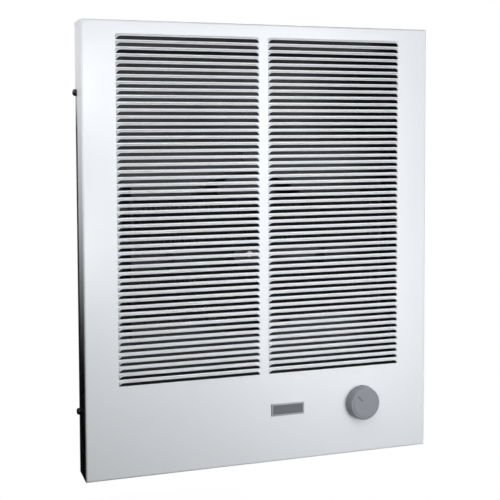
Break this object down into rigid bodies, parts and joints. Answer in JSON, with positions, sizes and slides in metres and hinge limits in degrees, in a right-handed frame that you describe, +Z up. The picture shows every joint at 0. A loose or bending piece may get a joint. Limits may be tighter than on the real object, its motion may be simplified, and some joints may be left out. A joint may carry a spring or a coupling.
{
  "type": "recessed wall fan heater",
  "caption": "Recessed electric wall fan heater: white louvred steel cover over a flanged wall box, with a fan, finned elements and a thermostat knob.",
  "frame": {"origin": "centre of the wall opening, in the plane of the wall that the cover's rear rim and the box's flange meet", "axes": "+Z up, +Y into the wall so that the front faces -Y, +X to the right as seen from the front"},
  "size_m": [0.4216, 0.15, 0.503],
  "materials": {
    "white_enamel": "baked semi-gloss white enamel",
    "black_screw": "black oxide",
    "black_paint": "satin black paint",
    "galvanised_steel": "dull galvanised sheet with a fine spangle",
    "zinc_steel": "bright zinc plate",
    "fan_aluminium": "stamped, dull",
    "motor_iron": "varnished laminations",
    "copper_wire": "varnished copper wire",
    "cast_aluminium": "die cast",
    "bronze_bush": "sintered bronze",
    "element_metal": "dull steel sheath and fins",
    "ceramic": "glazed ceramic",
    "black_phenolic": "moulded phenolic",
    "black_rubber": "soft rubber",
    "knob_grey": "moulded mid-grey plastic",
    "green_paint": "green paint",
    "black_sleeve": "braided sleeve",
    "red_sleeve": "braided sleeve",
    "white_sleeve": "braided sleeve"
  },
  "bodies": {
    "heater": {"front_cover": "white_enamel", "badge_plate": "zinc_steel", "cover_screw_upper_left": "black_screw", "cover_screw_lower_left": "black_screw", "cover_screw_upper_right": "black_screw", "cover_screw_lower_right": "black_screw", "wall_box": "black_paint", "fan_deck": "black_paint", "deck_screw_lower_left": "black_screw", "deck_screw_upper_left": "black_screw", "deck_screw_lower_right": "black_screw", "deck_screw_upper_right": "black_screw", "motor_stator": "motor_iron", "motor_coil_1": "copper_wire", "motor_coil_2": "copper_wire", "motor_coil_3": "copper_wire", "motor_coil_4": "copper_wire", "motor_front_bell": "cast_aluminium", "motor_rear_bell": "cast_aluminium", "motor_front_bush": "bronze_bush", "motor_rear_bush": "bronze_bush", "motor_bolt_1": "zinc_steel", "motor_bolt_2": "zinc_steel", "motor_bolt_3": "zinc_steel", "motor_bolt_4": "zinc_steel", "motor_strap": "black_paint", "strap_screw_left": "black_screw", "strap_screw_right": "black_screw", "heating_element_upper": "element_metal", "heating_element_lower": "element_metal", "element_insulator_1": "ceramic", "element_insulator_2": "ceramic", "element_insulator_3": "ceramic", "element_insulator_4": "ceramic", "element_bracket_left": "black_paint", "element_bracket_right": "black_paint", "overheat_cutout": "black_phenolic", "fan_delay_switch": "black_phenolic", "lead_grommet_upper": "black_rubber", "lead_grommet_lower": "black_rubber", "control_bracket": "black_paint", "thermostat_body": "black_phenolic", "thermostat_nut": "zinc_steel", "terminal_block": "ceramic", "wiring_cover": "galvanised_steel", "earth_screw": "green_paint", "lead_supply": "black_sleeve", "lead_to_cutout": "red_sleeve", "lead_to_elements": "red_sleeve", "lead_between_elements": "red_sleeve", "lead_return": "white_sleeve", "lead_to_motor": "black_sleeve"},
    "fan": {"fan_wheel": "fan_aluminium", "motor_shaft": "zinc_steel", "motor_rotor": "motor_iron"},
    "knob": {"thermostat_knob": "knob_grey", "thermostat_shaft": "zinc_steel"}
  },
  "joints": [
    {"name": "fan_spin", "type": "hinge", "parent": "heater", "child": "fan", "pos_m": [0, 0.03, -0.015], "axis": [0, 1, 0], "continuous": true},
    {"name": "knob_turn", "type": "hinge", "parent": "heater", "child": "knob", "pos_m": [0.122, -0.045, -0.191], "axis": [0, 1, 0], "range_deg": [0, 270]}
  ]
}
